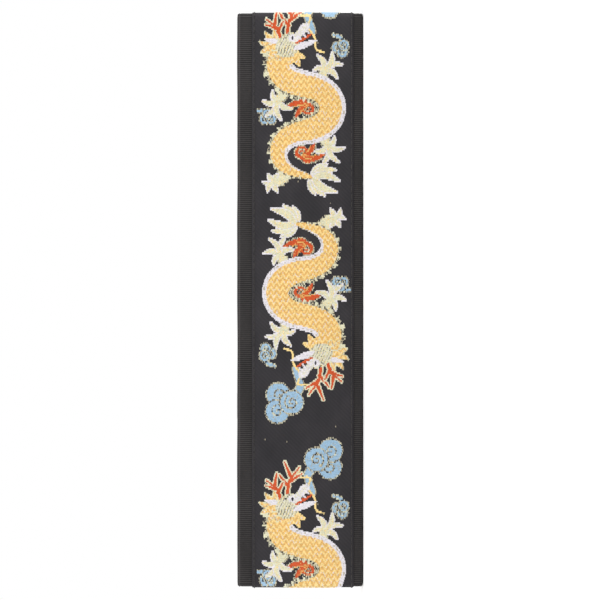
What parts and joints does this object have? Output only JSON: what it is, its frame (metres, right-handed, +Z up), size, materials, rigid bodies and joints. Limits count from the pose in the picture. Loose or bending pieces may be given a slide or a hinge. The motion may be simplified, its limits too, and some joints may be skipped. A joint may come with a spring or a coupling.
{
  "type": "guitar strap",
  "caption": "Folded 50 mm guitar strap: black ribbed webbing with a woven dragon ribbon, leather button tabs, wire loop and sliding tri-glide adjuster.",
  "frame": {"origin": "middle of the folded strap's footprint, on the surface it stands on", "axes": "+X along the front run, towards the adjuster end's corner; +Y from the front run to the adjuster run; +Z up, along the strap's width"},
  "size_m": [0.253, 0.0762, 0.058],
  "materials": {
    "black_webbing": "ribbed polypropylene webbing, cross ribs, matt",
    "jacquard_ribbon": "woven rayon figure in gold, cream, red and blue on a charcoal twill ground",
    "black_thread": "bonded polyester sewing thread",
    "black_leather": "full-grain, semi-matt, dyed edge",
    "nickel_steel": "nickel-plated steel"
  },
  "bodies": {
    "strap": {"main_webbing": "black_webbing", "main_ribbon": "jacquard_ribbon", "main_edge_thread_upper": "black_thread", "main_edge_thread_lower": "black_thread", "adjuster_run_webbing": "black_webbing", "adjuster_run_ribbon": "jacquard_ribbon", "adjuster_run_edge_thread_upper": "black_thread", "adjuster_run_edge_thread_lower": "black_thread", "front_tab_leather": "black_leather", "front_tab_box_stitch": "black_thread", "front_tab_box_stitch_back": "black_thread", "front_tab_edge_stitch": "black_thread"},
    "slider": {"tri_glide_slider": "nickel_steel", "slider_weave_webbing": "black_webbing", "slider_weave_ribbon": "jacquard_ribbon", "slider_weave_edge_thread_upper": "black_thread", "slider_weave_edge_thread_lower": "black_thread", "sewn_end_webbing": "black_webbing", "slider_box_stitch": "black_thread"},
    "loop": {"rear_loop_wire": "nickel_steel", "loop_bend_webbing": "black_webbing", "loop_bend_ribbon": "jacquard_ribbon", "loop_bend_edge_thread_upper": "black_thread", "loop_bend_edge_thread_lower": "black_thread", "loop_span_webbing": "black_webbing", "loop_span_ribbon": "jacquard_ribbon", "loop_span_edge_thread_upper": "black_thread", "loop_span_edge_thread_lower": "black_thread", "return_layer_webbing": "black_webbing", "return_layer_ribbon": "jacquard_ribbon", "return_layer_edge_thread_upper": "black_thread", "return_layer_edge_thread_lower": "black_thread"},
    "rear_tab": {"rear_tab_leather": "black_leather", "rear_tab_box_stitch": "black_thread", "rear_tab_box_stitch_back": "black_thread", "rear_tab_edge_stitch": "black_thread"}
  },
  "joints": [
    {"name": "slider_slide", "type": "slide", "parent": "strap", "child": "slider", "axis": [1, 0, 0], "range_m": [-0.03, 0.045], "deforming": ["adjuster_run_webbing", "adjuster_run_ribbon", "adjuster_run_edge_thread_upper", "adjuster_run_edge_thread_lower"]},
    {"name": "loop_travel", "type": "slide", "parent": "slider", "child": "loop", "axis": [1, 0, 0], "range_m": [-0.0225, 0.015], "deforming": ["loop_span_webbing", "loop_span_ribbon", "loop_span_edge_thread_upper", "loop_span_edge_thread_lower", "return_layer_webbing", "return_layer_ribbon", "return_layer_edge_thread_upper", "return_layer_edge_thread_lower"]},
    {"name": "rear_tab_swing", "type": "hinge", "parent": "loop", "child": "rear_tab", "pos_m": [-0.04848, 0.02555, 0.029], "axis": [0, 0, 1], "range_deg": [-85, 12]}
  ],
  "couplings": [
    {"joint": "loop_travel", "follows": "slider_slide", "ratio": -0.5}
  ]
}
